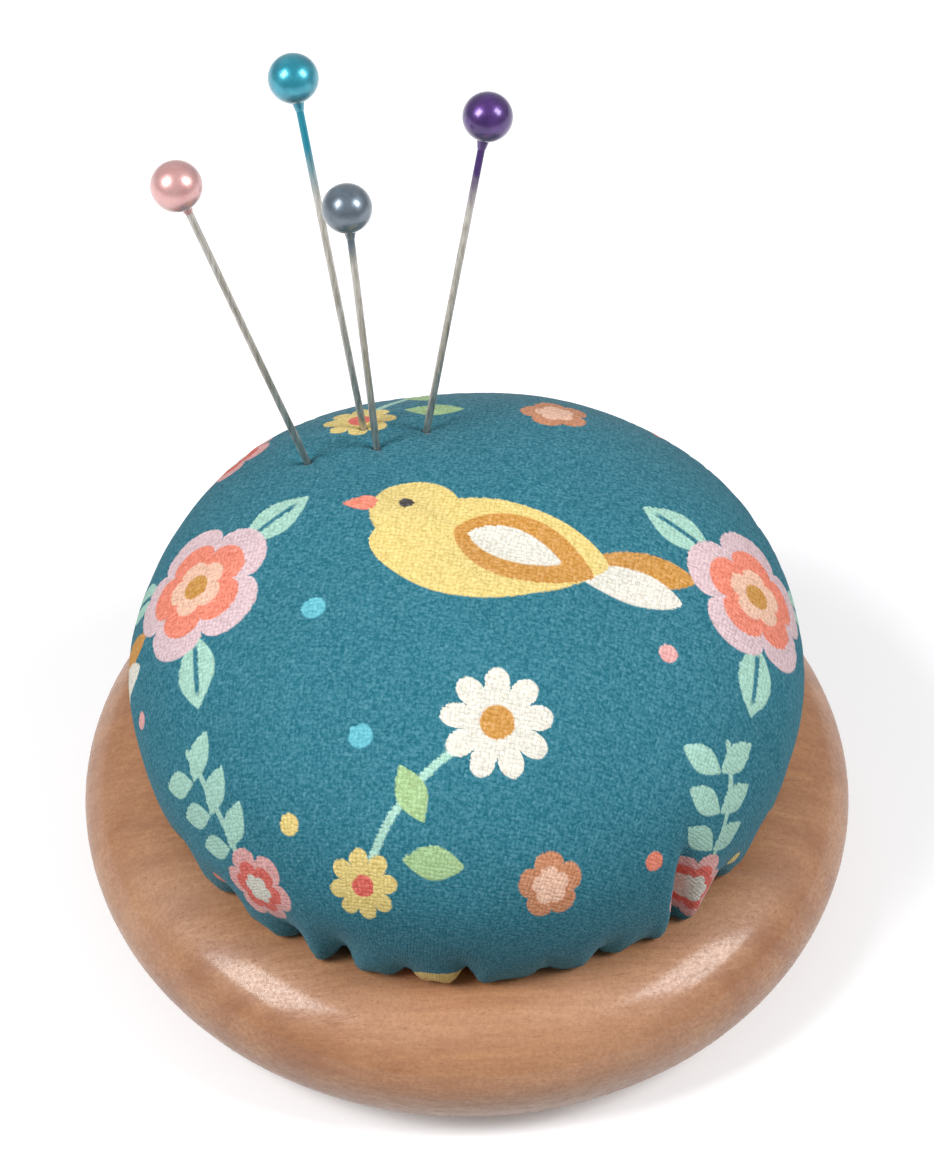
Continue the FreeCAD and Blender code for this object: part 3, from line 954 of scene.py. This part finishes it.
def settle_cloth(piece, along):
    """Runs a short cloth simulation on a copy and brings the moves back, within the limit."""
    copy = piece.copy()
    copy.data = piece.data.copy()
    bpy.context.collection.objects.link(copy)
    for corner in copy.data.vertices:
        corner.co *= BLOW_UP
    held = copy.vertex_groups.new(name="held")
    held.add([i + 1 for i in np.nonzero(along > CROWN_ALONG)[0].tolist()], 1.0, "REPLACE")
    cloth = copy.modifiers.new("cloth", "CLOTH")
    cloth.settings.vertex_group_mass = "held"
    cloth.settings.quality = 4
    cloth.settings.mass = 0.3
    cloth.settings.tension_stiffness = 30
    cloth.settings.compression_stiffness = 30
    cloth.settings.shear_stiffness = 8
    cloth.settings.bending_stiffness = 0.4
    cloth.settings.shrink_min = -0.02
    cloth.settings.use_pressure = True
    cloth.settings.uniform_pressure_force = 4
    cloth.settings.effector_weights.gravity = 0
    cloth.collision_settings.use_collision = False
    cloth.point_cache.frame_end = SETTLE_FRAMES
    for step in range(1, SETTLE_FRAMES + 1):
        bpy.context.scene.frame_set(step)
    graph = bpy.context.evaluated_depsgraph_get()
    moved = np.array([v.co[:] for v in copy.evaluated_get(graph).data.vertices]) / BLOW_UP
    start = np.array([v.co[:] for v in piece.data.vertices])
    move = moved - start
    length = np.linalg.norm(move, axis=1, keepdims=True)
    move *= np.minimum(1, MOST_MOVE * MM / np.maximum(length, 1e-12))
    near = np.clip((along - SETTLE_FROM) / SETTLE_RAMP, 0, 1)
    move *= np.concatenate([[0], near])[:, None]
    piece.data.vertices.foreach_set("co", (start + move).ravel())
    piece.data.update()
    bpy.data.objects.remove(copy)
    bpy.context.scene.frame_set(1)
    most, mean = length.max() / MM, length.mean() / MM
    print(f"the solver moved the cloth by up to {most:.2f} mm, {mean:.2f} mm on average")


settle_cloth(COVER, ALONG)

# %% Thickness, smoothness and the holes that the pins make
CLOTH_THICKNESS = 0.35
HOLE_RADIUS = 0.34
HOLE_DEPTH = 30.0
HOLE_OUT = 3.0


def modify(piece, kind, **settings):
    """Adds a modifier, sets it up and applies it."""
    select_only(piece)
    made = piece.modifiers.new(kind.lower(), kind)
    for name, value in settings.items():
        setattr(made, name, value)
    bpy.ops.object.modifier_apply(modifier=made.name)


def hole_cutter():
    """One round rod along each pin's whole stroke."""
    rods = []
    for pin in PIN_NAMES:
        length = HOLE_DEPTH + HOLE_OUT
        middle = PIN_ENTRIES[pin] + PIN_AXES[pin] * (HOLE_OUT - HOLE_DEPTH) / 2
        tilt = Vector(PIN_AXES[pin]).to_track_quat("Z", "Y").to_euler()
        bpy.ops.object.select_all(action="DESELECT")
        bpy.ops.mesh.primitive_cylinder_add(
            vertices=24, radius=HOLE_RADIUS * MM, depth=length * MM,
            location=[c * MM for c in middle], rotation=tilt,
        )
        rods.append(bpy.context.object)
    select_only(*rods)
    bpy.ops.object.join()
    settle(bpy.context.object)
    return bpy.context.object


def pierce(piece, cutter):
    """Cuts the pins' holes out of a closed piece."""
    modify(piece, "BOOLEAN", object=cutter, operation="DIFFERENCE", solver="EXACT")


CUTTER = hole_cutter()
modify(COVER, "SOLIDIFY", thickness=CLOTH_THICKNESS * MM, offset=-1.0)
pierce(COVER, CUTTER)
select_only(COVER)
bpy.ops.object.shade_smooth()
paint(COVER, COTTON)
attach(COVER, "cushion")
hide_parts("cover")
2 * FLAT_RADIUS * MM
2 * FLAT_RADIUS * MM
math.pi * (FLAT_RADIUS * MM) ** 2
print("cover triangles:", sum(len(p.vertices) - 2 for p in COVER.data.polygons))

# %% [markdown]
# ## The filling
# Under the cover is a ball of polyester fibre. It can't be seen, but the part comes apart in a drawing
# of its layers, so it gets its own shape and finish: the dome's outline, a little smaller, lumpy and
# matted. It is a round grid like the cover's, closed below by a flat floor, and then smoothed.

# %% Fibre
FILL_INSIDE = 0.75  # from the cover's outside in to the fibres
FILL_RINGS = 56
FILL_SPOKES = 160
FLOOR_GAP = 0.05


def make_fibre():
    material, tree, shader = new_material("matted_fibre")
    point = object_point(tree)
    x, y, z = axes(tree, point)
    mat = noise(tree, vector(tree, x * 0.9, y * 2.2, z * 2.2), 1.0, 5.0, 0.7)
    strand = noise(tree, vector(tree, x * 2.6, y * 0.5, z * 1.4), 1.4, 4.0, 0.7)
    colour = blend(tree, mat.between(0.35, 0.65), rgb("D9D6CD"), rgb("F6F4EE"))
    plug(tree, colour, shader.inputs["Base Color"])
    shader.inputs["Roughness"].default_value = 0.95
    shader.inputs["Sheen Weight"].default_value = 0.4
    bump(tree, shader, mat * 0.6 + strand * 0.6, 0.0004)
    return material


def build_filling():
    """The filling as a closed form: the dome's outline, a little inside, with a flat underside."""
    floor_z = FILL_LOW[2] + FLOOR_GAP
    floor_along = np.interp(-floor_z, -OUTLINE_HEIGHT[:-1], OUTLINE_ALONG[:-1])
    rings = np.linspace(0, floor_along, FILL_RINGS + 1)[1:]
    points, _, _ = cover_points(rings, FILL_SPOKES, inset=FILL_INSIDE)
    points[:, 2] = points[:, 2].clip(floor_z)
    points = np.vstack([[0, 0, DOME_TOP - FILL_INSIDE], points, [0, 0, floor_z]])
    faces = grid_faces(FILL_RINGS, FILL_SPOKES)
    last, end = 1 + (FILL_RINGS - 1) * FILL_SPOKES, len(points) - 1
    faces += [(last + j, end, last + (j + 1) % FILL_SPOKES) for j in range(FILL_SPOKES)]
    return grid_object("stuffing_fibre", points, faces)


FILLING = build_filling()
modify(FILLING, "SMOOTH", factor=0.5, iterations=3)
pierce(FILLING, CUTTER)
select_only(FILLING)
bpy.ops.object.shade_smooth()
paint(FILLING, make_fibre())
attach(FILLING, "cushion")
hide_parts("stuffing")

# %% [markdown]
# ## The gathering thread
# A doubled thread runs in and out through the hem, close to its edge, and is pulled tight and knotted.
# Each stitch is the same small loop, so one wavy ring makes the whole thread: a torus that is bent up
# and down in even stitches. The knot is a small ball pressed out of round.

# %% Thread
STITCHES = 44
THREAD_RADIUS = 0.12
STITCH_RISE = 0.07
STEPS_PER_STITCH = 8
KNOT_RADIUS = 0.5
KNOT_INWARD = 0.3
KNOT_HEIGHT = 0.36  # its height as a share of its width


def make_thread_finish():
    material, tree, shader = new_material("twisted_thread")
    x, y, z = axes(tree, object_point(tree))
    twist = ((y.math("ARCTAN2", x) * 240.0) + z * 9.0).math("SINE") * 0.5 + 0.5
    plug(tree, blend(tree, twist, rgb("BDB7A8"), rgb("EFEADD")), shader.inputs["Base Color"])
    shader.inputs["Roughness"].default_value = 0.7
    bump(tree, shader, twist, 0.00005)
    return material


def build_thread():
    low, high = millimetres("gathering_thread")
    ring_radius = high[0] - THREAD_RADIUS - STITCH_RISE
    level = (low[2] + high[2]) / 2
    bpy.ops.object.select_all(action="DESELECT")
    bpy.ops.mesh.primitive_torus_add(
        major_segments=STITCHES * STEPS_PER_STITCH, minor_segments=8, major_radius=ring_radius * MM,
        minor_radius=THREAD_RADIUS * MM, location=(0, 0, level * MM),
    )
    thread = bpy.context.object
    thread.name = thread.data.name = "gathering_stitches"
    settle(thread)
    for corner in thread.data.vertices:
        turn = math.atan2(corner.co.y, corner.co.x)
        corner.co.z += STITCH_RISE * MM * math.sin(turn * STITCHES)
    bpy.ops.mesh.primitive_ico_sphere_add(
        subdivisions=4, radius=KNOT_RADIUS * MM,
        location=((ring_radius - KNOT_INWARD) * MM, 0, level * MM),
    )
    knot = bpy.context.object
    settle(knot)
    for corner in knot.data.vertices:
        lift = corner.co.z - level * MM
        wrap = math.sin(corner.co.y / MM * 14 + corner.co.x / MM * 9)
        corner.co.z = level * MM + lift * (KNOT_HEIGHT + 0.03 * wrap)
    select_only(thread, knot)
    bpy.ops.object.join()
    bpy.ops.object.shade_smooth()
    return bpy.context.object


THREAD = build_thread()
paint(THREAD, make_thread_finish())
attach(THREAD, "cushion")
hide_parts("gathering_thread")

# %% [markdown]
# ## The board and the glue
# Both are out of sight under the cushion, and both keep their engineering shapes. The board is grey-brown
# pressed paper with flecks in it, and the glue is a cloudy yellow film.


# %% Board and glue
def make_board():
    material, tree, shader = new_material("pressed_board")
    point = object_point(tree)
    pulp = noise(tree, point, 1.6, 5.0, 0.7)
    flecks = noise(tree, point, 4.5, 1.0).between(0.66, 0.7)
    colour = blend(tree, pulp.between(0.35, 0.65), rgb("8F8271"), rgb("B2A48F"))
    colour = blend(tree, flecks * 0.7, colour, rgb("5E5346"))
    plug(tree, colour, shader.inputs["Base Color"])
    shader.inputs["Roughness"].default_value = 0.9
    bump(tree, shader, pulp, 0.0001)
    return material


def make_glue():
    material, tree, shader = new_material("dried_glue")
    cloud = noise(tree, object_point(tree), 0.35, 4.0, 0.6)
    colour = blend(tree, cloud.between(0.35, 0.65), rgb("C9BB8E"), rgb("E6DCB8"))
    plug(tree, colour, shader.inputs["Base Color"])
    plug(tree, cloud.between(0.3, 0.7, 0.25, 0.5), shader.inputs["Roughness"])
    bump(tree, shader, cloud, 0.0003)
    return material


paint(frame["nodes"]["backing_disc"], make_board())
paint(frame["nodes"]["glue"], make_glue())

# %% [markdown]
# ## The pins
# The shanks are drawn steel wire, bright, with faint streaks along their length. The beads are dipped in
# pearl lacquer, which is a tinted, half-metallic gloss under a clear coat. The lacquer also runs down
# from the bead over the top of the shank, and thins out as it goes, so the shank's colour is blended by
# the distance from the bead along the pin.

# %% Steel with lacquer run down it
LACQUER = {
    "pink": (rgb("D49C99"), rgb("E6B9B5"), 0.6),
    "teal": (rgb("16899F"), rgb("3FAFC4"), 9.0),
    "grey": (rgb("5A6773"), rgb("82909C"), 3.0),
    "violet": (rgb("3E1B63"), rgb("6B3F96"), 6.5),
}


def distance_from_bead(tree, pin):
    """How far a point lies down the shank from the bead's middle, in millimetres."""
    low, high = (np.array(c) for c in millimetres(f"{pin}_bead"))
    reach = float(((low + high) / 2 + PIN_AXES[pin] * 0.4) @ PIN_AXES[pin])
    along = node(
        tree, "VectorMath", object_point(tree), tuple(PIN_AXES[pin]), operation="DOT_PRODUCT", out=1
    )
    return along * -1.0 + reach


def make_steel(pin):
    material, tree, shader = new_material(f"steel_with_{pin}_lacquer")
    colour, _, run = LACQUER[pin]
    down = distance_from_bead(tree, pin)
    ragged = noise(tree, object_point(tree), 1.4, 2.0) * 2.0 - 1.0
    lacquer = (down + ragged * 0.7).between(2.2 + run, 2.0 + run * 0.45)
    x, y, _ = axes(tree, object_point(tree))
    drawn = noise(tree, vector(tree, x * 5.0, y * 5.0, down * 0.12), 1.0, 2.0, 0.5)
    steel = blend(tree, drawn.between(0.3, 0.7), rgb("9C968D"), rgb("CFCBC4"))
    plug(tree, blend(tree, lacquer, steel, colour), shader.inputs["Base Color"])
    plug(tree, lacquer * -0.6 + 0.8, shader.inputs["Metallic"])
    plug(tree, drawn.between(0.3, 0.7, 0.34, 0.46), shader.inputs["Roughness"])
    return material


# %% Pearl lacquer
def make_pearl(pin):
    material, tree, shader = new_material(f"{pin}_pearl")
    deep, pale, _ = LACQUER[pin]
    point = object_point(tree)
    cloud = noise(tree, point, 0.9, 3.0, 0.6)
    plug(tree, blend(tree, cloud.between(0.35, 0.7) * 0.6, deep, pale), shader.inputs["Base Color"])
    shader.inputs["Metallic"].default_value = 0.5
    plug(tree, noise(tree, point, 6.0, 3.0).between(0.3, 0.7, 0.3, 0.38), shader.inputs["Roughness"])
    shader.inputs["Coat Weight"].default_value = 0.6
    shader.inputs["Coat Roughness"].default_value = 0.16
    shader.inputs["Sheen Weight"].default_value = 0.3
    bump(tree, shader, noise(tree, point, 1.6, 2.0), 0.00003, 0.6)
    return material


for pin in PIN_NAMES:
    paint(frame["nodes"][f"{pin}_shank"], make_steel(pin))
    paint(frame["nodes"][f"{pin}_bead"], make_pearl(pin))

# %% [markdown]
# ## The floor
# A plain pale sheet, large enough to fill the view. It shows shadows and reflections, but throws no
# soft light back up, so that the front of the cushion stays darker than its top.


# %% Floor
def make_floor():
    bpy.ops.object.select_all(action="DESELECT")
    bpy.ops.mesh.primitive_plane_add(size=3.0, location=(0, 0, 0))
    floor = bpy.context.object
    floor.name = "floor"
    floor.visible_diffuse = False
    material, _, shader = new_material("pale_paper")
    shader.inputs["Base Color"].default_value = (0.97, 0.97, 0.98, 1)
    shader.inputs["Emission Color"].default_value = (1, 1, 1, 1)
    shader.inputs["Emission Strength"].default_value = 0.12
    shader.inputs["Roughness"].default_value = 0.9
    paint(floor, material)


make_floor()
bpy.data.objects.remove(CUTTER)
